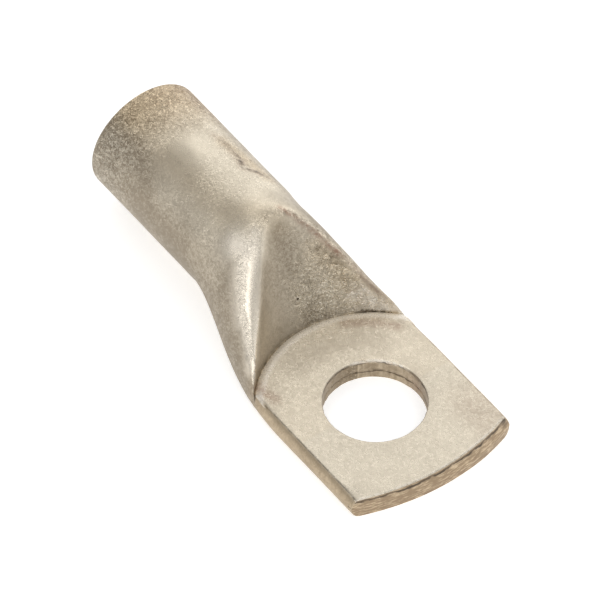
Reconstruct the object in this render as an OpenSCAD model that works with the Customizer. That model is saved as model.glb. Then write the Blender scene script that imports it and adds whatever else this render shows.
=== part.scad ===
// Tube cable lug for a 35 mm2 conductor and an M8 stud.
// One length of copper tube: a round barrel that takes the conductor, a neck that is pressed
// down by a round-nosed tool, and a flat palm that is pierced for the stud.
// The origin is the centre of the stud hole, on the palm's underside.
// +X runs to the palm's tip, the barrel opens towards -X, and +Z is up.

/* [Barrel] */
// Outside diameter of the tube
tube_d = 10.3; // [9.8:0.1:11]
// Thickness of the tube's wall
wall = 1.05; // [0.8:0.05:1.1]
// Length of the round barrel, from its mouth to the neck
barrel_l = 13.65; // [8:0.05:30]
// Height of the barrel's lowest line above the palm's underside
barrel_lift = 0.14; // [0:0.02:0.4]
// Chamfer on the outer and the inner edge of the mouth
mouth_chamfer = 0.2; // [0.05:0.05:0.4]

/* [Palm] */
// Width of the palm over its rounded sides
palm_w = 15.5; // [14.5:0.1:17]
// Thickness of the palm, which is two walls pressed together
palm_t = 1.98; // [1.7:0.02:2.1]
// Radius of the bulge along each side of the palm, centred at half its thickness
side_r = 1.3; // [1.15:0.05:1.6]
// Diameter of the stud hole
stud_hole_d = 8.4; // [5.3:0.1:10.5]
// Distance from the stud hole's centre to the tip
tip_reach = 8.7; // [7:0.1:12]
// Radius of the arc that closes the tip
tip_r = 21; // [12:0.5:60]

/* [Neck] */
// Length of the neck on the centre line, from the barrel to the crease
neck_l = 8.2; // [7.4:0.1:11]
// Radius of the crease, an arc about the stud hole's centre
crease_r = 9.6; // [9:0.1:11]
// Depth of the crease below the palm's upper face
crease_depth = 0.3; // [0.1:0.05:0.5]
// Width of the bevel that leads from the palm's upper face down to the crease
bevel_w = 0.6; // [0.3:0.1:1]
// Angle of the pressed hollow to the palm, on the centre line
hollow_angle = 60; // [54:1:66]
// How much the hollow's arc tightens for each millimetre of height
hollow_taper = 0.7; // [0.4:0.05:0.9]
// How much the hollow leans to the +Y side for each millimetre of height
hollow_lean = 0.14; // [0:0.02:0.2]
// Length of the neck over which the top of the tube stays round
crown_l = 3.9; // [2.8:0.1:4.4]
// Angle at which the two ridges beside the hollow fall to the palm
ridge_angle = 59; // [52:1:62]
// Softness of the ridges at the barrel
ridge_soft_barrel = 2.6; // [1.6:0.1:3]
// Softness of the ridges at the palm
ridge_soft_palm = 0.2; // [0.1:0.1:0.6]
// Distance behind the stud hole where the palm has reached its full width
shoulder = 7.3; // [5:0.1:8.5]

/* [Hidden] */

tube_r = tube_d / 2;
bore_r = tube_r - wall;
axis_z = tube_r + barrel_lift;
side_y = palm_w / 2 - side_r;
neck_x = crease_r + neck_l;
mouth_x = neck_x + barrel_l;
spread_l = neck_x - shoulder;

// Run of the hollow for each millimetre of height, on the centre line
hollow_run = 1 / tan(hollow_angle);
// Height of the crease
crease_z = palm_t - crease_depth;
// Radius at which the palm's flat upper face ends
face_r = crease_r - bevel_w;
// Softness of the bend from the barrel's top to the ridges
crown_soft = 3.4;
// How late along the neck the top of the unpressed tube turns flat
crown_delay = 2.6;
// Distance behind the stud hole's centre where the neck's skin ends and the straight palm starts
palm_start = 3;
// How far the inner space runs back into the bore, and where its pressed end stops
core_lap = 0.5;
core_end = 0.7;
// Gap that stays inside where the pressed walls meet
slit = 0.12;
// How far faceted skins stay inside the round surfaces that they continue
skin_gap = 0.01;
// Overshoot of a cutting tool
over = 1;

sides_out = 84;
sides_in = 48;
rings_out = 24;
rings_in = 14;
$fn = 128;

function clamp(t) = max(0, min(1, t));
function mix(a, b, t) = a + (b - a) * t;
function smooth(t) = let (c = clamp(t)) c * c * (3 - 2 * c);
function settle(t) = let (c = clamp(t)) c + c * c - c * c * c;
function soft_min(a, b, k) = let (h = clamp(0.5 + 0.5 * (b - a) / k)) mix(b, a, h) - k * h * (1 - h);

// The unpressed tube at a distance s along the neck, as it spreads from a circle to the palm
function half_width(s) = mix(tube_r, palm_w / 2, smooth(s / spread_l));
function side_z(s) = mix(axis_z, palm_t / 2, settle(s / neck_l));
function base_z(s) = mix(barrel_lift, 0, settle(s / neck_l));
function base_half(s) = mix(0, side_y, smooth(s / neck_l));
function crown_half(s) = mix(0, side_y, pow(clamp(s / neck_l), crown_delay));
function crown_z(s, inset) =
    let (top = axis_z + tube_r,
         fall = top - tan(ridge_angle) * (s - crown_l) - inset / cos(ridge_angle))
    max(palm_t / 2 + side_r - inset, soft_min(top - inset, fall, crown_soft));

// Height of an oval with a flat of half-width `flat` in its middle, at a distance y from it
function oval(y, flat, half, rise) =
    let (t = clamp((y - flat) / (half - flat))) rise * sqrt(1 - t * t);

// Height of the pressed hollow: its level lines are arcs that tighten and shift as they climb
function hollow_z(x, y) =
    let (a = hollow_run + hollow_taper,
         p = a * a + hollow_lean * hollow_lean - hollow_taper * hollow_taper,
         q = a * x - hollow_lean * y + hollow_taper * crease_r,
         r = x * x + y * y - crease_r * crease_r)
    crease_z + (-q - sqrt(max(0, q * q - p * r))) / p;

// Height of the palm's upper face and of the bevel round it
function face_z(rho) = mix(palm_t, crease_z, clamp((rho - face_r) / bevel_w));

function top_z(s, x, y, tube, inset) =
    let (rho = norm([x, y]),
         soft = mix(ridge_soft_barrel, ridge_soft_palm, sqrt(clamp(s / neck_l))),
         pressed = hollow_z(x, y) - inset / cos(hollow_angle))
    rho < crease_r - skin_gap ? min(tube, face_z(rho)) : soft_min(tube, pressed, soft);

// A point of the neck's skin: s is the place along the centre line, and bow the ring's curvature
function skin_point(s, bow, turn, inset, gap) =
    let (half = half_width(s) - inset - gap,
         y = half * cos(turn),
         across = abs(y),
         sag = bow > 0 ? (1 - sqrt(1 - pow(bow * y, 2))) / bow : 0,
         x = s - neck_x + sag,
         mid = side_z(s),
         bed = base_z(s) + inset + gap * clamp(1 - s / neck_l),
         dip = (side_r - palm_t / 2) * pow(clamp(s / neck_l), 3),
         low = max(bed, mid - oval(across, base_half(s), half, mid - bed + dip)),
         crown = crown_z(s, inset) - gap * clamp(1 - s / neck_l),
         tube = mid + oval(across, crown_half(s), half, crown - mid),
         high = top_z(s, x, y, tube, inset))
    [x, y, sin(turn) < 0 ? low : inset > 0 ? max(high, bed + slit) : high];

function ring(s, bow, sides, inset, gap) =
    [for (k = [0:sides - 1]) skin_point(s, bow, 360 * k / sides, inset, gap)];

function neck_bow(s) = clamp(s / neck_l) / crease_r;

// A closed skin through rings that all have the same number of points
module skin(rings) {
    n = len(rings[0]);
    last = len(rings) - 1;
    half = n / 2;
    points = [for (r = rings) each r];
    side_faces = [for (i = [0:last - 1], k = [0:n - 1])
        let (a = i * n + k, d = i * n + (k + 1) % n)
        each [[a, a + n, d + n], [a, d + n, d]]];
    start_face = [for (k = [0:half - 1]) each [
        if (k < half - 1) [k, k + 1, n - k - 1],
        if (k > 0) [k, n - k - 1, n - k]]];
    end_face = [for (f = start_face) [f[0] + last * n, f[2] + last * n, f[1] + last * n]];
    polyhedron(points, concat(side_faces, start_face, end_face));
}

module neck() {
    pressed = [for (i = [0:rings_out])
        let (s = neck_l * i / rings_out) ring(s, neck_bow(s), sides_out, 0, skin_gap)];
    face_edge = ring(neck_x - face_r, 1 / face_r, sides_out, 0, skin_gap);
    joint = ring(neck_x - palm_start, 0, sides_out, 0, skin_gap);
    skin(concat(pressed, [face_edge, joint]));
}

module neck_core() {
    span = neck_l - core_end + core_lap;
    skin([for (i = [0:rings_in])
        let (s = span * i / rings_in - core_lap)
        ring(s, neck_bow(s), sides_in, wall, skin_gap)]);
}

module barrel() {
    translate([-mouth_x, 0, axis_z]) rotate([0, 90, 0]) {
        cylinder(h = mouth_chamfer, r1 = tube_r - mouth_chamfer, r2 = tube_r);
        translate([0, 0, mouth_chamfer]) cylinder(h = barrel_l - mouth_chamfer, r = tube_r);
    }
}

module bore() {
    translate([-mouth_x, 0, axis_z]) rotate([0, 90, 0]) {
        translate([0, 0, -over]) cylinder(h = over + barrel_l, r = bore_r);
        translate([0, 0, -over])
            cylinder(h = over + mouth_chamfer, r1 = bore_r + mouth_chamfer + over, r2 = bore_r);
    }
}

// Cross-section of the palm: flat faces between two bulged sides, where the tube's wall folds over
module palm_profile() {
    intersection() {
        union() {
            translate([-side_y, 0]) square([2 * side_y, palm_t]);
            for (side = [-1, 1]) translate([side * side_y, palm_t / 2]) circle(r = side_r);
        }
        translate([-palm_w, 0]) square([2 * palm_w, palm_t]);
    }
}

module palm() {
    intersection() {
        translate([-palm_start, 0, 0]) rotate([90, 0, 90])
            linear_extrude(height = palm_start + tip_reach + over) palm_profile();
        translate([tip_reach - tip_r, 0, -over]) cylinder(h = palm_t + 2 * over, r = tip_r);
    }
}

module stud_hole() {
    translate([0, 0, -over]) cylinder(h = palm_t + 2 * over, d = stud_hole_d);
}

module lug() {
    color([0.78, 0.74, 0.67]) difference() {
        union() {
            barrel();
            neck();
            palm();
        }
        bore();
        neck_core();
        stud_hole();
    }
}

lug();
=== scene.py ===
import math

import bmesh
import bpy
import numpy as np
from mathutils import Matrix, Vector, noise


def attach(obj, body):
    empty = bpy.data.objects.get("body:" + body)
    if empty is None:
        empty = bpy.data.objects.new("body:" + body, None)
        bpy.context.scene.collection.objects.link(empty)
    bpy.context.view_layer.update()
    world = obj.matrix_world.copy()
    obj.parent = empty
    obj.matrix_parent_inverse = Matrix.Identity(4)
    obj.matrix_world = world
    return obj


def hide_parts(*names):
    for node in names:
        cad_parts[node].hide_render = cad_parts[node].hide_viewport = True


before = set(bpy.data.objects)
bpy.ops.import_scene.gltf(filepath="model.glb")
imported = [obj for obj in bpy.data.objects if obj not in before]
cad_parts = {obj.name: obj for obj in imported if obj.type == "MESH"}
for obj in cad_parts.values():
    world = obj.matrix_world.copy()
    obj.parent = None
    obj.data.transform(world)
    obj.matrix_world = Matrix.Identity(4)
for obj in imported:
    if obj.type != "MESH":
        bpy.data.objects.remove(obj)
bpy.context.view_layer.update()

MM = 0.001

# Sizes of the lug in millimetres and radians, as in its CAD source
TUBE_R = 5.15
WALL = 1.05
LIFT = 0.14
PALM_HALF = 7.75
PALM_T = 1.98
SIDE_R = 1.3
HOLE_R = 4.2
TIP_REACH = 8.7
TIP_R = 21.0
BARREL_L = 13.65
NECK_L = 8.2
CREASE_R = 9.6
CREASE_DEPTH = 0.3
BEVEL_W = 0.6
HOLLOW_ANGLE = math.radians(60)
HOLLOW_TAPER = 0.7
HOLLOW_LEAN = 0.14
CROWN_L = 3.9
CROWN_SOFT = 3.4
CROWN_DELAY = 2.6
RIDGE_ANGLE = math.radians(59)
RIDGE_SOFT_BARREL = 2.6
RIDGE_SOFT_PALM = 0.2
SHOULDER = 7.3
CORE_END = 0.7
SLIT = 0.12

BORE_R = TUBE_R - WALL
AXIS_Z = TUBE_R + LIFT
SIDE_Y = PALM_HALF - SIDE_R
MID_Z = PALM_T / 2
NECK_X = CREASE_R + NECK_L
MOUTH_X = NECK_X + BARREL_L
SPREAD_L = NECK_X - SHOULDER
HOLLOW_RUN = 1 / math.tan(HOLLOW_ANGLE)
CREASE_Z = PALM_T - CREASE_DEPTH
FACE_R = CREASE_R - BEVEL_W
TIP_CENTRE_X = TIP_REACH - TIP_R

# Roundings that only the scene has: softness of the palm's upper and lower side edges, and radii
EDGE_SOFT = 0.05
LOWER_SOFT = 0.2
MOUTH_ROUND = 0.26
RIM_ROUND = 0.09
TIP_ROUND = 0.13
# The tip's lower edge is rounded less, by this share
LOWER_TIP_SHARE = 0.8
# Edges sharper than this are shaded sharp
SHARP_ANGLE = math.radians(38)
# How the bevel rounds over from the palm's face, where 1 is flat
BEVEL_ROUND = 1.8
# Length over which the palm reaches its full width, from the end of the crease
WIDEN_L = 3.6

# How far the sheared tip stands proud below, at its +Y corner and at the other, and over what length
FLARE = 0.34
FLARE_LEFT = 0.08
FLARE_L = 2.5
# How far the punch pushed the broken rim of the stud hole outwards and up
BURR_OUT = 0.05
BURR_UP = 0.1
# Height of the seam between the two walls, and how far it sinks into the hole's wall
SEAM_Z = 0.78
SEAM_DEPTH = 0.07

# Mesh density
SLOTS = 288
BARREL_RINGS = 36
MOUTH_STEPS = 6
NECK_RINGS = 84
SIDE_SPOKES = 44
TIP_SPOKES = 60
FACE_ROWS = 22
EDGE_ROWS = 14
HOLE_ROWS = 16
TIP_ROWS = 14
BORE_RINGS = 10
CORE_RINGS = 18
# Width of the finer rows along the palm's edges, and how much they crowd towards the edge
EDGE_BAND = 0.5
EDGE_CROWD = 2.2
# How far inside the edge of the flat face those rows start at the sides
EDGE_MARGIN = 0.1
# Steps that close in on the palm's side, and the least slant of a spoke that they divide by
SIDE_STEPS = 12
LEAST_SLANT = 1e-3
# Share of even spacing in the tip's spokes, which otherwise crowd towards the corners
EVEN_SHARE = 0.45
# Points within one step of this size are welded, and spokes this close to the tip's corner lie on it
WELD = 2e-5
SAME_TURN = 1e-9


def clamp(t):
    return np.clip(t, 0.0, 1.0)


def mix(a, b, t):
    return a + (b - a) * t


def smooth(t):
    c = clamp(t)
    return c * c * (3 - 2 * c)


def rise(value, start, end):
    """0 up to the start and 1 from the end on, with a smooth rise between."""
    return smooth((value - start) / (end - start))


def fall(value, start, end):
    """1 up to the start and 0 from the end on, with a smooth fall between."""
    return smooth((end - value) / (end - start))


def settle(t):
    c = clamp(t)
    return c + c * c - c ** 3


def soft_min(a, b, k):
    h = clamp(0.5 + 0.5 * (b - a) / k)
    return mix(b, a, h) - k * h * (1 - h)


def soft_max(a, b, k):
    return -soft_min(-a, -b, k)


# ---- the lug's own surface, as the CAD source defines it ----

def half_width(s):
    return mix(TUBE_R, PALM_HALF, smooth(s / SPREAD_L))


def crown_z(s, inset):
    top = AXIS_Z + TUBE_R
    descent = top - math.tan(RIDGE_ANGLE) * (s - CROWN_L) - inset / math.cos(RIDGE_ANGLE)
    return np.maximum(MID_Z + SIDE_R - inset, soft_min(top - inset, descent, CROWN_SOFT))


def oval(across, flat, half, rise):
    t = clamp((across - flat) / (half - flat))
    return rise * np.sqrt(1 - t * t)


def hollow_z(x, y):
    a = HOLLOW_RUN + HOLLOW_TAPER
    p = a * a + HOLLOW_LEAN ** 2 - HOLLOW_TAPER ** 2
    q = a * x - HOLLOW_LEAN * y + HOLLOW_TAPER * CREASE_R
    r = x * x + y * y - CREASE_R * CREASE_R
    return CREASE_Z + (-q - np.sqrt(np.maximum(0, q * q - p * r))) / p


def face_z(rho):
    return mix(PALM_T, CREASE_Z, clamp((rho - FACE_R) / BEVEL_W) ** BEVEL_ROUND)


def neck_points(s, turn, inset=0.0):
    """Points of the neck's skin at the place s on its centre line, at the turns given."""
    along_neck = clamp(s / NECK_L)
    bow = along_neck / CREASE_R
    half = half_width(s) - inset
    y = half * np.cos(turn)
    across = np.abs(y)
    sag = (1 - np.sqrt(1 - (bow * y) ** 2)) / bow if bow > 0 else np.zeros_like(y)
    x = s - NECK_X + sag
    mid = mix(AXIS_Z, MID_Z, settle(along_neck))
    bed = mix(LIFT, 0, settle(along_neck)) + inset
    dip = (SIDE_R - MID_Z) * along_neck ** 3
    base_half = mix(0, SIDE_Y, smooth(along_neck))
    crown_half = mix(0, SIDE_Y, along_neck ** CROWN_DELAY)
    lower = np.maximum(bed, mid - oval(across, base_half, half, mid - bed + dip))
    tube = mid + oval(across, crown_half, half, crown_z(s, inset) - mid)
    softness = mix(RIDGE_SOFT_BARREL, RIDGE_SOFT_PALM, along_neck ** 0.5)
    pressed = hollow_z(x, y) - inset / math.cos(HOLLOW_ANGLE)
    upper = soft_min(tube, pressed, softness)
    if inset > 0:
        upper = np.maximum(upper, bed + SLIT)
    return np.stack([x, y, np.where(np.sin(turn) < 0, lower, upper)], -1)


# ---- patches of the skin ----

class Skin:
    """Collects grids of points as quads, and welds the points that patches share."""

    def __init__(self):
        self.points = []
        self.faces = []
        self.count = 0

    def grid(self, points, closed=False, flip=False):
        rows, columns = points.shape[:2]
        index = self.count + np.arange(rows * columns).reshape(rows, columns)
        self.points.append(points.reshape(-1, 3))
        self.count += rows * columns
        here = index if closed else index[:, :-1]
        there = np.roll(index, -1, 1) if closed else index[:, 1:]
        quads = np.stack([here[:-1], there[:-1], there[1:], here[1:]], -1).reshape(-1, 4)
        self.faces.append(quads[:, ::-1] if flip else quads)

    def mesh(self, name):
        points = np.concatenate(self.points)
        keys = np.round(points / WELD).astype(np.int64)
        _, first, weld = np.unique(keys, axis=0, return_index=True, return_inverse=True)
        corners = weld.reshape(-1)[np.concatenate(self.faces)]
        faces = []
        for face in corners.tolist():
            loop = [v for i, v in enumerate(face) if v != face[i - 1]]
            if len(loop) >= 3 and len(set(loop)) == len(loop):
                faces.append(loop)
        made = bpy.data.meshes.new(name)
        made.from_pydata((points[first] * MM).tolist(), [], faces)
        made.validate()
        return made


def rows_between(a, b, count):
    """Rows of points from one row to another."""
    return np.stack([mix(a, b, t) for t in np.linspace(0, 1, count + 1)])


def edge_drop(gap, radius):
    """How far a rounded edge lies below the sharp one, at a distance from it."""
    t = 1 - clamp(gap / radius)
    return radius * (1 - np.sqrt(1 - t * t))


skin = Skin()
turns = 2 * math.pi * np.arange(SLOTS) / SLOTS
HALF_SLOTS = SLOTS // 2

# Neck, from the barrel to the crease
neck_rings = np.stack([neck_points(s, turns) for s in NECK_L * np.linspace(0, 1, NECK_RINGS + 1)])
skin.grid(neck_rings, closed=True, flip=True)


def tube_ring(x, radius):
    return np.stack([np.full(SLOTS, x), radius * np.cos(turns), AXIS_Z + radius * np.sin(turns)], -1)


def mouth_profile():
    """The mouth's rounded edges, outer and then inner, as places along X and radii."""
    quarter = math.pi / 2
    for turn in np.linspace(quarter / MOUTH_STEPS, quarter, MOUTH_STEPS):
        yield MOUTH_ROUND * (1 - math.sin(turn)) - MOUTH_X, TUBE_R - MOUTH_ROUND * (1 - math.cos(turn))
    for turn in np.linspace(0, quarter, MOUTH_STEPS):
        yield MOUTH_ROUND * (1 - math.cos(turn)) - MOUTH_X, BORE_R + MOUTH_ROUND * (1 - math.sin(turn))


# Barrel: from the neck back to its rounded mouth, and on into the bore
barrel_x = np.linspace(-NECK_X, MOUTH_ROUND - MOUTH_X, BARREL_RINGS + 1)
barrel_profile = [(x, TUBE_R) for x in barrel_x] + list(mouth_profile())
skin.grid(np.stack([tube_ring(x, radius) for x, radius in barrel_profile]), closed=True)
bore_x = np.linspace(MOUTH_ROUND - MOUTH_X, -NECK_X, BORE_RINGS + 1)
skin.grid(np.stack([tube_ring(x, BORE_R) for x in bore_x]), closed=True)

# Inside of the neck, and the slit's end
core_s = np.linspace(0, NECK_L - CORE_END, CORE_RINGS + 1)
core_rings = np.stack([neck_points(s, turns, WALL) for s in core_s])
skin.grid(core_rings, closed=True)


def upper_and_lower(ring):
    """The two halves of a ring, both from its +Y side to its -Y side."""
    return ring[: HALF_SLOTS + 1], ring[(-np.arange(HALF_SLOTS + 1)) % SLOTS]


skin.grid(np.stack(upper_and_lower(core_rings[-1])))

# Palm: spokes about the stud hole
neck_half = half_width(NECK_L)
crease_turn = math.asin(neck_half / CREASE_R)
corner = math.atan2(PALM_HALF, TIP_CENTRE_X + math.sqrt(TIP_R ** 2 - PALM_HALF ** 2))


def plan_half(x):
    """Half-width of the palm in plan, from the end of the crease to the tip."""
    crease_end_x = -math.sqrt(CREASE_R ** 2 - neck_half ** 2)
    t = clamp((x - crease_end_x) / WIDEN_L)
    return mix(neck_half, PALM_HALF, 1 - (1 - t) ** 2)


def palm_heights(x, y, rho):
    """Heights of the palm's upper and lower face, before the rounding of the hole and the tip."""
    half = plan_half(x)
    bulge = oval(np.minimum(np.abs(y), half), SIDE_Y, half, SIDE_R)
    behind = np.where(x < 0, rho, 0)
    softness = mix(EDGE_SOFT, RIDGE_SOFT_PALM, clamp((behind - FACE_R) / BEVEL_W))
    return soft_min(MID_Z + bulge, face_z(behind), softness), soft_max(MID_Z - bulge, 0, LOWER_SOFT)


def tip_rho(theta):
    """Distance from the hole's centre to the tip's arc along a spoke."""
    return TIP_CENTRE_X * np.cos(theta) + np.sqrt(TIP_R ** 2 - (TIP_CENTRE_X * np.sin(theta)) ** 2)


def side_rho(theta):
    """Distance from the hole's centre to the palm's side along a spoke, closed in on step by step."""
    rho = np.full_like(theta, PALM_HALF)
    across = np.maximum(np.abs(np.sin(theta)), LEAST_SLANT)
    for _ in range(SIDE_STEPS):
        rho = plan_half(rho * np.cos(theta)) / across
    return rho


def face_end(theta, reach):
    """Where along each spoke the rows of the flat face end and the finer rows of its edge start."""
    flat_y = SIDE_Y + SIDE_R * math.sqrt(1 - (MID_Z / SIDE_R) ** 2) - EDGE_MARGIN
    across = np.abs(np.sin(theta))
    to_side = np.minimum(np.minimum(FACE_R, reach - EDGE_BAND), flat_y / np.maximum(across, 0.1))
    to_tip = np.minimum(reach - EDGE_BAND, CREASE_R)
    return np.where(across * reach > flat_y, to_side, to_tip)


def palm_rows(theta, reach):
    """Distances from the hole's centre, one row of the palm's faces after another."""
    start = HOLE_R + RIM_ROUND
    end = face_end(theta, reach)
    rim = RIM_ROUND * (1 - np.cos(np.radians([0, 25, 50, 72, 90])))
    inner = np.linspace(0, 1, FACE_ROWS)[1:]
    outer = 1 - (1 - np.linspace(0, 1, EDGE_ROWS + 1)[1:]) ** EDGE_CROWD
    rows = [np.full_like(theta, HOLE_R + step) for step in rim]
    rows += [mix(start, end, t) for t in inner]
    rows += [mix(end, reach, t) for t in outer]
    return np.stack(rows)


# Spoke angles run from the crease's +Y end round the tip to its -Y end, then back over the crease
side_turns = mix(math.pi - crease_turn, corner, np.linspace(0, 1, SIDE_SPOKES + 1))
tip_t = np.linspace(-1, 1, TIP_SPOKES + 1)
tip_turns = -corner * mix(np.sin(0.5 * math.pi * tip_t), tip_t, EVEN_SHARE)
outline = np.concatenate([side_turns, tip_turns[1:-1], -side_turns[::-1]])
crease_upper, crease_lower = upper_and_lower(neck_rings[-1])
crease_turns = np.arctan2(crease_upper[:, 1], crease_upper[:, 0]) % (2 * math.pi)
theta = np.concatenate([outline, crease_turns[::-1][1:-1]])
on_tip = np.abs(theta) <= corner + SAME_TURN
over_crease = np.arange(len(theta)) >= len(outline)
reach = np.where(on_tip, tip_rho(theta), np.where(over_crease, CREASE_R, side_rho(theta)))

rho = palm_rows(theta, reach)
grid_x = rho * np.cos(theta)
grid_y = rho * np.sin(theta)
upper, lower = palm_heights(grid_x, grid_y, rho)
rim_drop = edge_drop(rho - HOLE_R, RIM_ROUND)
tip_drop = edge_drop(np.where(on_tip, reach - rho, TIP_ROUND), TIP_ROUND)
lower = lower + rim_drop + LOWER_TIP_SHARE * tip_drop
upper = np.maximum(upper - rim_drop - tip_drop, lower)
face_upper = np.stack([grid_x, grid_y, upper], -1)
face_lower = np.stack([grid_x, grid_y, lower], -1)
sides = np.nonzero(~on_tip & ~over_crease)[0]
for face, crease_row in ((face_upper, crease_upper), (face_lower, crease_lower)):
    # The last row is the bulge's middle along the sides, and the neck's last ring over the crease
    face[-1, sides, 2] = MID_Z
    face[-1, over_crease] = crease_row[::-1][1:-1]
    face[-1, 0] = crease_row[0]
    face[-1, len(outline) - 1] = crease_row[-1]
skin.grid(face_upper, closed=True)
skin.grid(face_lower, closed=True, flip=True)

# Walls of the tip and of the stud hole
skin.grid(rows_between(face_upper[-1, on_tip], face_lower[-1, on_tip], TIP_ROWS))
skin.grid(rows_between(face_upper[0], face_lower[0], HOLE_ROWS), closed=True, flip=True)

mesh = skin.mesh("lug_skin")
editable = bmesh.new()
editable.from_mesh(mesh)
bmesh.ops.recalc_face_normals(editable, faces=editable.faces)
editable.to_mesh(mesh)
editable.free()


# ---- small forms: the seam, the burr, the flare and swellings, as small moves of the points ----

def vectors(data, name):
    """The vectors that a mesh stores under a name, one for each point."""
    flat = np.zeros(len(data) * 3, np.float32)
    data.foreach_get(name, flat)
    return flat.reshape(-1, 3).astype(float)


def turbulence(points, size, seed, octaves=2):
    """Smooth noise from -1 to 1 with features of the size given, in millimetres."""
    shift = Vector((seed * 13.7, seed * 7.1, seed * 3.3))
    return np.array([noise.fractal(Vector(p) / size + shift, 1.0, 2.0, octaves) for p in points.tolist()])


def near(points, path, radius):
    """1 on a path, or on a path of one place, falling away over the radius."""
    places = np.array(path, float)
    nearest = np.linalg.norm(points - places[0], axis=1)
    for start, end in zip(places[:-1], places[1:]):
        step = end - start
        t = clamp(((points - start) @ step) / (step @ step))
        nearest = np.minimum(nearest, np.linalg.norm(points - start - t[:, None] * step, axis=1))
    return np.exp(-(nearest / radius) ** 2)


def marks(points, table):
    """Sum of soft marks, each with its strength, its radius and its path."""
    return sum(strength * near(points, path, radius) for strength, radius, path in table)


def band(value, centre, width):
    """1 where the value is at the centre, falling away over the width."""
    return np.exp(-((value - centre) / width) ** 2)


plain = vectors(mesh.vertices, "co") / MM
N = vectors(mesh.vertex_normals, "vector")
px, py, pz = plain.T
nx, ny, nz = N.T
rho_xy = np.hypot(px, py)
angle = np.arctan2(py, px)
inside = rho_xy < HOLE_R + 0.01
waves = turbulence(plain, 3.2, 1)
ripple = turbulence(plain, 1.1, 2)
grit = turbulence(plain, 0.4, 3)

# The slight unevenness of the whole skin, but for its underside
offset = (0.02 * waves + 0.008 * ripple) * (pz > 0.05)

# Hole: the seam between the two walls, and broken metal on the rim that the punch left
seam_z = SEAM_Z + 0.1 * turbulence(plain, 2.2, 4) + 0.05 * ripple
offset += inside * (0.03 * grit - SEAM_DEPTH * band(pz, seam_z, 0.07))
rim = fall(rho_xy, HOLE_R + 0.02, HOLE_R + 0.16) * rise(pz, PALM_T - 0.3, PALM_T - 0.1)
burr_arc = rise(angle, 1.75, 2.0) * fall(angle, 2.85, 3.05)
burr = rim * burr_arc * clamp(0.5 + 1.1 * turbulence(plain, 0.5, 6))

# Tip: the sheared face stands proud below, most of all at its +Y corner
flare = mix(FLARE_LEFT, FLARE, rise(py, -PALM_HALF, PALM_HALF)) * fall(pz, PALM_T - 1.3, PALM_T)
flare *= clamp(1 - (tip_rho(angle) - rho_xy) / FLARE_L) ** 2 * (px > 3)

# Swellings of the +Y shoulder, and of the hollow's lip over the crease's +Y end
offset += marks(plain, [(0.25, 0.9, [(-5.7, 7.7, 1.2)]),
                        (0.07, 0.45, [(-9.2, 4.3, 2.7), (-8.1, 5.6, 2.5), (-7.2, 6.6, 2.3)])])
P = plain + N * offset[:, None]
# The burr, the flare, and a small dent at the tip's -Y corner
P[:, 0] += flare - BURR_OUT * burr * np.cos(angle)
P[:, 1] -= BURR_OUT * burr * np.sin(angle)
P[:, 2] += BURR_UP * burr - marks(P, [(0.05, 0.5, [(6.9, -7.2, 1.9)])])
P[:, 2] = np.maximum(P[:, 2], 0)
mesh.vertices.foreach_set("co", (P * MM).astype(np.float32).ravel())
mesh.update()
lug = bpy.data.objects.new("lug_skin", mesh)
bpy.context.scene.collection.objects.link(lug)
mesh.shade_smooth()
mesh.set_sharp_from_angle(angle=SHARP_ANGLE)


# ---- wear and tarnish, with painted shade and painted highlights, all set on the points ----

# The slope that runs down the hollow's +Y side, painted bright as a highlight, and the edge of the neck
# beside it
SLOPE = [(-12.0, 3.35, 6.9), (-11.0, 4.1, 5.8), (-9.8, 4.75, 4.3),
         (-8.9, 5.3, 3.3), (-8.0, 5.9, 2.7), (-7.4, 6.4, 2.3)]
SLOPE_END = (-6.9, 6.8, 2.0)
SHOULDER_EDGE = [(-11.2, 4.6, 6.6), (-10.3, 5.2, 5.8), (-8.8, 5.9, 4.1), (-7.7, 6.5, 3.1)]
# Where the plating on top of the barrel is cracked
CRACKED = [(-23.5, 2.4, 9.9), (-19.1, 3.2, 9.3)]

left_flank = fall(ny, -0.85, -0.25) * fall(px, -8, -5)
right_flank = rise(ny, 0.48, 0.83) * fall(px, -9, -6)
barrel = fall(px, -19, -16.5)
mouth_end = barrel * fall(px, -30.5, -24.5)
tip_face = rise(nx, 0.8, 0.9) * (px > 5)
palm_side = fall(ny, -0.75, -0.45) * rise(px, -8, -5) + rise(ny, 0.45, 0.75) * rise(px, -9, -6)
palm_side *= ~inside
hollow = rise(nx, 0.66, 0.86) * (px < -4) * (1 - barrel)
on_palm = (nz > 0.8) * (px > -9)
bevel = rise(rho_xy, FACE_R - 0.25, FACE_R - 0.05) * fall(rho_xy, CREASE_R - 0.12, CREASE_R - 0.06)
bevel *= (px < 0) * (nz > 0.5)
facing_tip = rise(nx, 0.3, 0.6)
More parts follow.
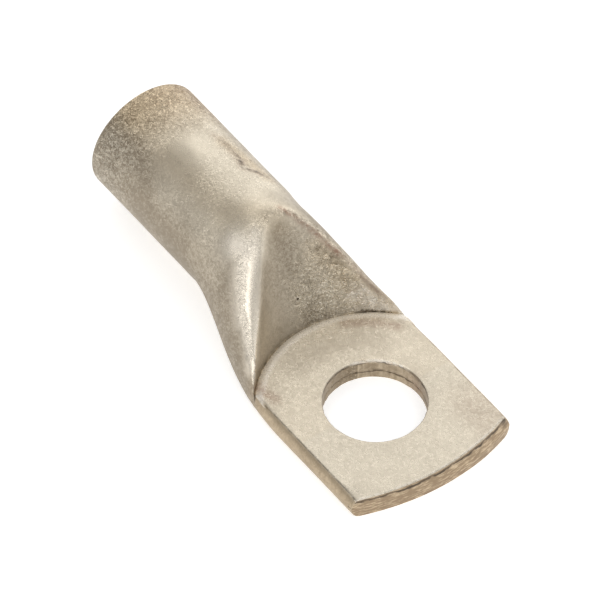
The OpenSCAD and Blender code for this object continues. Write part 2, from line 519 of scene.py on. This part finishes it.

# Tarnish and painted shade: broad tones of each side first, where the barrel's -Y flank, the +Y flank, the
# palm's sides and the tip's face are painted darker as shade, then darker and brighter marks
tarnish_and_shade = 0.03 + 0.2 * mouth_end + (0.9 - 0.35 * mouth_end) * left_flank
tarnish_and_shade += 0.68 * palm_side + 0.78 * tip_face + 0.75 * right_flank
tarnish_and_shade += 0.16 * barrel * turbulence(P, 2.6, 5)
# The hollow is painted darker as shade, most of all on its -Y side and high up
tarnish_and_shade += hollow * (0.57 - 0.6 * rise(py, 0.5, 4.5) + 0.2 * rise(pz, 4, 8))
# Painted shade in the hollow along the crease
tarnish_and_shade += 0.12 * hollow * band(rho_xy, CREASE_R, 0.9) * fall(py, 1.5, 4.5)
# The palm behind the hole, darker towards the crease for the stamp's letters, partly as their painted shade
tarnish_and_shade += 0.1 * on_palm * (px < 0) * rise(rho_xy, 6.2, 8.4)
tarnish_and_shade += 0.06 * on_palm * fall(rho_xy, HOLE_R + 0.4, HOLE_R + 1.2)
tarnish_and_shade += inside * (0.72 + 0.35 * fall(angle, -2.7, -2.3) + 0.2 * fall(angle, 1.35, 1.75))
tarnish_and_shade += 0.3 * fall(px, -31.3, -31.15)
tarnish_and_shade += marks(P, [
    # The stamp's band behind the hole, darker for its letters, partly as their painted shade
    (0.3, 1.3, [(-6.4, -2.2, 2.0), (-6.5, 0.3, 2.0), (-5.9, 2.6, 2.0), (-4.9, 3.8, 2.0)]),
    (0.22, 1.1, [(-17.2, -1.2, 10.3), (-15.5, -0.1, 10.3), (-14.5, 0.7, 9.8)]),
    (0.2, 0.9, [(-28.0, -1.8, 10.1), (-25.6, 1.5, 10.2), (-23.5, 2.4, 9.9)]),
    # Painted shade on the +Y side of the hollow's top
    (0.42, 1.0, [(-16.5, 2.5, 10.0), (-14.8, 2.9, 9.4), (-12.5, 4.3, 7.6)]),
    (0.5, 0.4, SHOULDER_EDGE),
    # Lighter patches on the barrel's -Y flank, easing its painted shade
    (-0.45, 1.3, [(-23.2, -4.0, 8.5), (-20.7, -3.6, 8.9), (-16.9, -3.4, 9.0)]),
    (-0.2, 1.2, [(-31.0, 0.0, 10.4), (-28.7, 0.7, 10.4)]),
    # A lighter patch in the hollow, easing its painted shade
    (-0.35, 1.9, [(-10.8, 1.5, 3.9)]),
    # A painted highlight at the top of the outer ridge
    (-0.4, 1.0, [(-15.2, -2.2, 9.9), (-14.6, -1.2, 10.0), (-13.8, -1.8, 9.4)])])
# Lighter on the barrel's -Y flank, easing its painted shade
tarnish_and_shade -= 0.3 * left_flank * near(P, [(-15.8, -4.8, 7.5)], 2.2)
# Painted highlight down the slope on the hollow's +Y side
tarnish_and_shade -= 0.8 * facing_tip * near(P, SLOPE[2:], 1.0)
# A lighter band up the hole's wall, and painted highlights on the burr and the bevel
tarnish_and_shade -= 0.45 * inside * band(angle, 2.87, 0.06) + 0.5 * burr + 0.5 * bevel
tarnish_and_shade = clamp(tarnish_and_shade)

# Dirt in the cracks of the plating, which wander a little, painted shade along the crease, and a dark spot
# at the tip's +Y corner
scratchy = clamp(0.75 + 1.2 * turbulence(P, 0.35, 7))
wandering = P + 0.12 * np.stack([turbulence(P, 0.5, 8), turbulence(P, 0.5, 9), np.zeros(len(P))], -1)
soot_and_crease_shade = 0.16 * band(rho_xy, CREASE_R + 0.06, 0.14) * (px < 0) * (pz < 2.4) * fall(py, 4, 5.5)
soot_and_crease_shade += scratchy * marks(wandering, [
    (0.85, 0.22, [(-21.3, 2.2, 9.9), (-20.4, 1.9, 10.1), (-19.8, 2.3, 9.9),
                  (-19.5, 2.9, 9.5), (-19.1, 3.2, 9.3)]),
    (0.3, 0.3, [(-23.5, 2.4, 9.9), (-22.3, 2.3, 9.9), (-21.3, 2.2, 9.9)])])
soot_and_crease_shade += 0.8 * near(P, [(7.5, 7.2, 1.6)], 0.35)
soot_and_crease_shade = clamp(soot_and_crease_shade)

# Brown stains, where the copper shows through
stain = 0.22 * tip_face + 0.2 * mouth_end * rise(ny, -0.5, 0.1)
stain += 0.3 * on_palm * rise(px, 1, 5) * rise(py, 3, 6)
stain += marks(P, [
    (0.8, 0.28, [(-15.2, 1.7, 10.1), (-14.6, 2.1, 9.8), (-13.8, 2.7, 9.1),
                 (-13.0, 3.3, 8.4), (-12.3, 3.8, 7.6), (-11.2, 4.5, 6.5)]),
    (0.5, 0.25, SHOULDER_EDGE),
    (0.7, 0.5, [(-6.7, -6.6, 1.8), (-5.7, -6.6, 2.0), (-4.8, -6.3, 2.0)]),
    (0.6, 0.45, [(-7.9, 2.9, 2.0), (-6.9, 4.6, 2.0), (-5.2, 6.2, 2.0)]),
    (0.5, 0.9, [(-0.1, 4.2, 0.7)])])
stain += scratchy * marks(wandering, [
    (0.6, 0.45, [(-21.3, 2.2, 9.9), (-20.4, 1.9, 10.1), (-19.5, 2.7, 9.7)]),
    (0.3, 0.5, [(-24.5, 2.2, 10.0), (-21.3, 2.2, 9.9)])])
stain = clamp(stain)

# Bare bright metal, painted as highlights: the bevel, the broken rim of the hole, the ridge and the end of
# the slope
rim_highlight = rim * burr_arc * (pz > PALM_T - 0.12) * clamp(0.6 + 0.9 * turbulence(P, 0.6, 10))
ridge_side_highlight = near(P, [(-14.4, -1.3, 9.9), (-12.4, -2.8, 8.1), (-11.0, -3.8, 6.5),
                      (-9.3, -4.9, 4.6), (-8.2, -5.6, 3.3)], 0.55)
ridge_top_highlight = near(P, [(-15.0, -3.0, 9.5), (-13.6, -2.2, 9.3), (-12.6, -3.2, 8.0)], 0.8)
slope_end_highlight = facing_tip * near(P, SLOPE[3:] + [SLOPE_END], 1.1) * clamp(0.75 + 0.8 * turbulence(P, 0.5, 11))
painted_highlight = np.maximum.reduce([0.9 * bevel, rim_highlight, 0.45 * ridge_side_highlight, 0.4 * ridge_top_highlight, slope_end_highlight])

# The outer ridge is rubbed smooth and bright by wear, and its brightness also stands as a painted highlight
# that widens the ridge's shine
polish_and_highlight = np.maximum.reduce([
    near(P, [(-14.6, -3.2, 9.2), (-13.8, -2.7, 9.2)], 1.2),
    near(P, [(-13.8, -2.7, 9.2), (-12.0, -4.2, 7.2), (-10.4, -5.2, 5.6)], 0.95),
    near(P, [(-10.4, -5.2, 5.6), (-8.6, -6.0, 4.2), (-7.6, -6.4, 3.0)], 0.6)])

# How strong the wrinkled texture is
hollow_lip = rise(nx, 0.15, 0.35) * fall(nx, 0.45, 0.65) * (px < -8)
grain = 0.17 + 0.8 * mouth_end + 0.12 * barrel + 0.15 * left_flank * (1 - barrel) + 0.5 * hollow_lip
grain += 0.6 * hollow * rise(py, -1.5, 1.5) * (1 - 0.7 * rise(pz, 4.5, 7.5))
grain += marks(P, [(-0.35, 1.8, [(-24.2, -0.9, 10.3)]), (0.4, 0.8, SLOPE), (0.4, 0.9, CRACKED)])
grain = clamp(grain * (1 - 0.45 * polish_and_highlight))

# Places with a warmer, golden tone
warm = mouth_end * rise(ny + nz, -0.2, 0.6) + tip_face + 0.6 * inside + 0.8 * palm_side
warm += 0.12 * on_palm * (px < 0)
warm += marks(P, [(0.35, 1.1, SLOPE), (0.6, 0.8, CRACKED),
                  (0.35, 1.5, [(-25.0, -2.2, 10.0), (-17.2, -2.0, 10.1), (-14.5, 0.7, 9.8)])])
warm = clamp(warm)

layers = {"tarnish_and_shade": tarnish_and_shade, "stain": stain, "soot_and_crease_shade": soot_and_crease_shade, "grain": grain, "polish_and_highlight": polish_and_highlight,
          "painted_highlight": painted_highlight, "warm": warm, "tip_face": tip_face, "hole_wall": inside, "burr_arc": burr_arc}
for layer_name, values in layers.items():
    layer = mesh.attributes.new(layer_name, "FLOAT", "POINT")
    layer.data.foreach_set("value", values.astype(np.float32))


# ---- materials ----

class Value:
    """A socket of a node tree that can stand in sums: each operator adds a Math node."""

    def __init__(self, nodes, socket):
        self.nodes = nodes
        self.socket = socket

    def __add__(self, other):
        return self.nodes.math("ADD", self, other)

    def __sub__(self, other):
        return self.nodes.math("SUBTRACT", self, other)

    def __rsub__(self, other):
        return self.nodes.math("SUBTRACT", other, self)

    def __mul__(self, other):
        return self.nodes.math("MULTIPLY", self, other)

    def __abs__(self):
        return self.nodes.math("ABSOLUTE", self, 0)


class Nodes:
    """Short calls for building a node tree."""

    def __init__(self, tree):
        self.tree = tree

    def add(self, kind, **settings):
        node = self.tree.nodes.new(kind)
        for key, setting in settings.items():
            setattr(node, key, setting)
        return node

    def put(self, value, socket):
        """Links a value to a socket, or writes a plain number or vector into it."""
        if isinstance(value, Value):
            self.tree.links.new(value.socket, socket)
        else:
            socket.default_value = value

    def math(self, operation, a, b):
        node = self.add("ShaderNodeMath", operation=operation)
        self.put(a, node.inputs[0])
        self.put(b, node.inputs[1])
        return Value(self, node.outputs[0])

    def vector_math(self, operation, a, b, output):
        node = self.add("ShaderNodeVectorMath", operation=operation)
        self.put(a, node.inputs[0])
        self.put(b, node.inputs[1])
        return Value(self, node.outputs[output])

    def scaled(self, vector, scales):
        return self.vector_math("MULTIPLY", vector, scales, "Vector")

    def distance(self, vector, place):
        return self.vector_math("DISTANCE", vector, place, "Value")

    def noise(self, coords, size, detail=2.0, rough=0.5, distortion=0.0):
        node = self.add("ShaderNodeTexNoise", noise_type="FBM", normalize=True)
        settings = {"Vector": coords, "Scale": 1 / (size * MM), "Detail": detail,
                    "Roughness": rough, "Distortion": distortion}
        for key, setting in settings.items():
            self.put(setting, node.inputs[key])
        return Value(self, node.outputs["Fac"])

    def ramp(self, value, low, high, out_low=0.0, out_high=1.0):
        node = self.add("ShaderNodeMapRange", interpolation_type="SMOOTHSTEP")
        settings = {"Value": value, "From Min": low, "From Max": high, "To Min": out_low, "To Max": out_high}
        for key, setting in settings.items():
            self.put(setting, node.inputs[key])
        return Value(self, node.outputs["Result"])

    def line(self, value, centre, width):
        """1 where a value is at the centre, 0 beyond the width to either side."""
        return self.ramp(abs(value - centre), width * 0.4, width, 1.0, 0.0)

    def blend(self, factor, a, b, mode="MIX"):
        node = self.add("ShaderNodeMix", data_type="RGBA", blend_type=mode)
        self.put(factor, node.inputs["Factor"])
        colours = [socket for socket in node.inputs if socket.type == "RGBA"]
        for colour, socket in zip((a, b), colours):
            self.put(colour if isinstance(colour, Value) else (*colour, 1), socket)
        return Value(self, next(socket for socket in node.outputs if socket.type == "RGBA"))

    def layer(self, name):
        """One of the layers that are painted on the points."""
        return Value(self, self.add("ShaderNodeAttribute", attribute_name=name).outputs["Fac"])


BRIGHT_TIN = (0.78, 0.70, 0.565)
# Colour of rubbed tin, also used for the painted highlights
RUBBED_AND_HIGHLIGHT_TIN = (0.92, 0.84, 0.72)
# Colour of dull tin, also reached where shade is painted
DULL_AND_SHADED_TIN = (0.325, 0.272, 0.203)
# What the colour is multiplied by where it is warm
GOLDEN = (1.04, 0.94, 0.80)
COPPER_STAIN = (0.36, 0.235, 0.17)
# Dark colour for grime, and for the painted shade in the crease, its notch and under the tip's rolled edge
SOOT_AND_SHADE = (0.10, 0.075, 0.052)

# A small black pit in the pressed hollow
PIT = (-10.9, 0.4, 3.9)
# Where the palm's flat face turns down to its sides
EDGE_Y = 7.31


class Surface(Nodes):
    """The node tree of the lug's metal, with the places in millimetres and the noises it shares."""

    def __init__(self, tree):
        super().__init__(tree)
        self.coords = Value(self, self.add("ShaderNodeTexCoord").outputs["Object"])
        self.place = self.scaled(self.coords, (1 / MM, 1 / MM, 1 / MM))
        self.plan = self.scaled(self.coords, (1 / MM, 1 / MM, 0))
        split = self.add("ShaderNodeSeparateXYZ")
        self.put(self.place, split.inputs[0])
        self.x, self.y, self.z = (Value(self, socket) for socket in split.outputs)
        self.rho = self.distance(self.plan, (0, 0, 0))
        self.side_y = abs(self.y)
        self.fine = self.noise(self.coords, 0.3, 2, 0.6, 0.8)
        self.mottle = self.noise(self.coords, 1.3, 4, 0.6)
        # Short curled wrinkles and grooves: the places where a noise passes through one value
        curls = self.noise(self.coords, 0.38, 1, 0.5, 1.6)
        self.wrinkle = self.ramp(abs(curls - 0.5), 0.0, 0.05, 1.0, 0.0)
        self.groove = self.ramp(abs(curls - 0.42), 0.0, 0.045, 1.0, 0.0)

    def dullness_and_shade(self):
        """How dull the tin is, with the painted shade and the ridge's painted highlight in it, from 0 for
        bright to 1.
        """
        texture = self.ramp(self.mottle, 0.3, 0.7, -0.14, 0.14) + self.groove * 0.5
        texture = texture + self.ramp(self.fine, 0.35, 0.65, -0.32, 0.32)
        texture = texture + self.ramp(self.wrinkle, 0.0, 1.0, 0.12, -0.6)
        patches = self.ramp(self.noise(self.coords, 5.0, 3), 0.3, 0.7, -0.05, 0.05)
        # Shear marks run along the tip's face, and up the hole's wall
        streaks = self.noise(self.scaled(self.coords, (1, 1, 7)), 0.9, 3, 0.6)
        scores = self.noise(self.scaled(self.coords, (1, 1, 0.15)), 0.4, 2, 0.6)
        total = self.layer("tarnish_and_shade") + patches + texture * self.layer("grain")
        total = total + self.ramp(streaks, 0.38, 0.62, -0.35, 0.5) * self.layer("tip_face")
        total = total + self.ramp(scores, 0.35, 0.65, -0.08, 0.16) * self.layer("hole_wall")
        return total * (1.0 - self.layer("polish_and_highlight") * 0.5)

    def painted_edge_highlights(self):
        """Painted highlights on the far rim of the hole and on the tip's rolled upper edge, as bright torn
        metal.
        """
        lumps = self.ramp(self.noise(self.coords, 0.3, 2), 0.44, 0.52, 0.15, 1.0)
        far_rim = self.line(self.rho, HOLE_R + 0.06, 0.14) * self.layer("burr_arc")
        far_rim = far_rim * self.ramp(self.z, 1.8, 1.88)
        from_tip_centre = self.distance(self.plan, (TIP_CENTRE_X, 0, 0))
        rolled = self.line(from_tip_centre, TIP_R - 0.12, 0.13) * self.ramp(self.side_y, 7.4, 7.5, 1.0, 0.0)
        rolled = rolled * self.ramp(self.z, 1.8, 1.85)
        return (far_rim + rolled * 0.7) * lumps

    def edge_dirt_and_shade(self, broken):
        """Dirt along the seam and rim of the hole and along the palm's sides, and a painted shadow along the
        tip's sheared face, under its rolled upper edge.
        """
        height = self.z + self.ramp(self.mottle, 0.3, 0.7, -0.12, 0.12)
        hole_wall = self.layer("hole_wall")
        # A painted shadow line under the tip's rolled upper edge
        shear_shadow = self.line(height, PALM_T - 0.27, 0.15) * self.layer("tip_face")
        shear_shadow = shear_shadow * self.ramp(self.mottle, 0.35, 0.55, 0.55, 1.0)
        seam = self.line(height, SEAM_Z, 0.08) * hole_wall
        lip = self.line(height, PALM_T - 0.16, 0.1) * hole_wall * broken
        near_rim = self.line(self.rho, HOLE_R + 0.03, 0.07) * (1.0 - self.layer("burr_arc"))
        near_rim = near_rim * self.ramp(self.z, 1.7, 1.85)
        side = self.line(self.side_y, EDGE_Y, 0.06) * self.ramp(self.x, -6.0, -5.0)
        side = side * self.ramp(self.z, 1.5, 1.7) * broken
        return shear_shadow + seam * 0.7 + near_rim * 0.35 + lip * 0.75 + side * 0.5

    def crease_shade(self, broken):
        """Painted shade in the crease, and in the pointed notch under the hollow's lip at its +Y end."""
        beyond = self.rho + self.ramp(self.fine, 0.3, 0.7, -0.05, 0.05) - CREASE_R
        opening = self.ramp(self.y, 2.6, 5.2) * self.ramp(self.y, 4.6, 6.8, 0.14, 0.0)
        notch = self.ramp(beyond - opening, -0.06, 0.02, 1.0, 0.0) * self.ramp(beyond, -0.14, -0.08)
        notch = notch * self.ramp(self.x, -7.0, -6.5, 1.0, 0.0) * self.ramp(self.z, 1.2, 1.4)
        notch = notch * self.ramp(self.y, 3.8, 5.4)
        crease = self.line(beyond, 0.03, 0.1) * self.ramp(self.x, -7.6, -6.8, 1.0, 0.0)
        crease = crease * self.ramp(self.z, 1.0, 1.3) * broken
        return notch * 0.6 + crease * 0.3

    # Dirt, the painted shade in the crease, its notch and under the tip's rolled edge, and a black pit
    def dirt_and_shade(self):
        broken = self.ramp(self.noise(self.coords, 0.6, 2), 0.4, 0.55, 0.25, 1.0)
        total = self.edge_dirt_and_shade(broken) + self.crease_shade(broken) + self.layer("soot_and_crease_shade")
        pit = self.ramp(self.distance(self.place, PIT), 0.09, 0.13, 1.0, 0.0)
        return self.math("MAXIMUM", total, pit)

    def colour(self, dullness_and_shade, edges):
        polish_and_highlight = self.layer("polish_and_highlight")
        stain = self.layer("stain") * self.ramp(self.fine, 0.3, 0.65, 0.3, 1.0)
        colour = self.blend(dullness_and_shade, BRIGHT_TIN, DULL_AND_SHADED_TIN)
        colour = self.blend(self.layer("warm"), colour, GOLDEN, "MULTIPLY")
        # Painted highlight on the rubbed ridge, then painted highlights on bare and torn metal
        colour = self.blend(polish_and_highlight * 0.7, colour, RUBBED_AND_HIGHLIGHT_TIN)
        colour = self.blend(self.layer("painted_highlight"), colour, RUBBED_AND_HIGHLIGHT_TIN)
        colour = self.blend(stain, colour, COPPER_STAIN)
        colour = self.blend(edges, colour, RUBBED_AND_HIGHLIGHT_TIN)
        return self.blend(self.dirt_and_shade(), colour, SOOT_AND_SHADE)

    def bumps(self):
        node = self.add("ShaderNodeBump")
        self.put(0.25 * MM, node.inputs["Distance"])
        self.put(self.layer("grain") * 0.8, node.inputs["Strength"])
        self.put((self.wrinkle - self.groove) * 0.35 + self.fine, node.inputs["Height"])
        return Value(self, node.outputs["Normal"])


def tinned_copper():
    mat = bpy.data.materials.new("tinned_copper")
    mat.use_nodes = True
    metal = Surface(mat.node_tree)
    dullness_and_shade = metal.dullness_and_shade()
    edges = metal.painted_edge_highlights()
    roughness = metal.ramp(dullness_and_shade, 0.0, 1.0, 0.3, 0.46) + metal.ramp(metal.fine, 0.3, 0.7, -0.06, 0.06)
    # Bare and torn metal, painted as highlights, is given less of the metallic shine, so that it stays
    # bright in any reflection
    painted_highlight = metal.math("MAXIMUM", metal.layer("painted_highlight"), edges)
    sockets = mat.node_tree.nodes["Principled BSDF"].inputs
    metal.put(metal.colour(dullness_and_shade, edges), sockets["Base Color"])
    metal.put(roughness - metal.layer("polish_and_highlight") * 0.1, sockets["Roughness"])
    metal.put(0.92 - painted_highlight * 0.6, sockets["Metallic"])
    metal.put(metal.bumps(), sockets["Normal"])
    return mat


def white_floor():
    """A floor that looks white to the camera and in reflections, and keeps the lug's shadow."""
    mat = bpy.data.materials.new("floor_white")
    mat.use_nodes = True
    n = Nodes(mat.node_tree)
    rays = n.add("ShaderNodeLightPath").outputs
    camera, glossy, through = (Value(n, rays[f"Is {kind} Ray"])
                               for kind in ("Camera", "Glossy", "Transmission"))
    seen = n.math("MAXIMUM", n.math("MAXIMUM", camera, glossy), through)
    sockets = mat.node_tree.nodes["Principled BSDF"].inputs
    n.put((0.95, 0.95, 0.95, 1), sockets["Base Color"])
    n.put(0.9, sockets["Roughness"])
    n.put((1, 1, 1, 1), sockets["Emission Color"])
    n.put(seen * 0.5, sockets["Emission Strength"])
    return mat


mesh.materials.append(tinned_copper())
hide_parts("lug")
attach(lug, "root")

# ---- floor, a little below the lug's underside ----
FLOOR_SIZE = 4.0
FLOOR_GAP = 0.02 * MM

bpy.ops.mesh.primitive_plane_add(size=FLOOR_SIZE, location=(0, 0, -FLOOR_GAP))
floor = bpy.context.object
floor.name = "floor"
floor.data.materials.append(white_floor())


# ---- light ----

def heading(azimuth, elevation):
    """The direction with the azimuth and elevation given in degrees."""
    a, e = math.radians(azimuth), math.radians(elevation)
    return Vector((math.cos(a) * math.cos(e), math.sin(a) * math.cos(e), math.sin(e)))


def softbox(name, direction, distance, size, radiance):
    """A square lamp of the radiance given, which faces the lug from a direction."""
    lamp = bpy.data.lights.new(name, "AREA")
    lamp.shape = "SQUARE"
    lamp.size = size
    lamp.energy = radiance * math.pi * size ** 2
    box = bpy.data.objects.new(name, lamp)
    box.location = direction * distance
    box.rotation_euler = direction.to_track_quat("Z", "Y").to_euler()
    bpy.context.scene.collection.objects.link(box)


# Radiance of the softboxes, from the brightest to the dimmest, and of the world round them
KEY = 1.5
STRONG = 1.1
MEDIUM = 0.65
SOFT = 0.4
DIM = 0.2
WORLD_STRENGTH = 0.38
BOX_SIZE = 0.52
BOX_DISTANCE = 0.9

# Where the softboxes stand, as azimuth and elevation, by their radiance
STUDIO = {KEY: [(95, 20)],
          STRONG: [(-80, 20), (-10, 45), (165, 20)],
          MEDIUM: [(-45, 50), (60, 20), (130, 20), (130, 50)],
          SOFT: [(-115, 40), (-80, 50), (0, 85)],
          DIM: [(25, 35), (165, 50)]}
for radiance, places in STUDIO.items():
    for azimuth, elevation in places:
        direction = heading(azimuth, elevation)
        softbox(f"panel_{azimuth}_{elevation}", direction, BOX_DISTANCE, BOX_SIZE, radiance)

world = bpy.data.worlds.new("studio")
bpy.context.scene.world = world
world.use_nodes = True
world.node_tree.nodes["Background"].inputs["Color"].default_value = (1, 1, 1, 1)
world.node_tree.nodes["Background"].inputs["Strength"].default_value = WORLD_STRENGTH

# ---- camera: in degrees, where it stands about the place it looks at, and how far it is rolled ----
CAMERA_AZIMUTH = -37.36
CAMERA_ELEVATION = 49.13
CAMERA_ROLL = 1.16
CAMERA_DISTANCE = 856.8 * MM
CAMERA_TARGET = Vector((-9.95, -0.1, 5.0)) * MM
CAMERA_LENS = 645.3

towards_camera = heading(CAMERA_AZIMUTH, CAMERA_ELEVATION)
level = towards_camera.to_track_quat("Z", "Y").to_matrix().to_4x4()
rolled = level @ Matrix.Rotation(math.radians(CAMERA_ROLL), 4, "Z")
camera_matrix = Matrix.Translation(CAMERA_TARGET + towards_camera * CAMERA_DISTANCE) @ rolled
camera_data = bpy.data.cameras.new("camera")
camera_data.sensor_width = 36
camera_data.lens = CAMERA_LENS
camera_data.clip_start = 0.01
camera_data.clip_end = 20
camera = bpy.data.objects.new("camera", camera_data)
camera.matrix_world = camera_matrix
bpy.context.scene.collection.objects.link(camera)
bpy.context.scene.camera = camera

bpy.context.scene.view_settings.view_transform = "Standard"
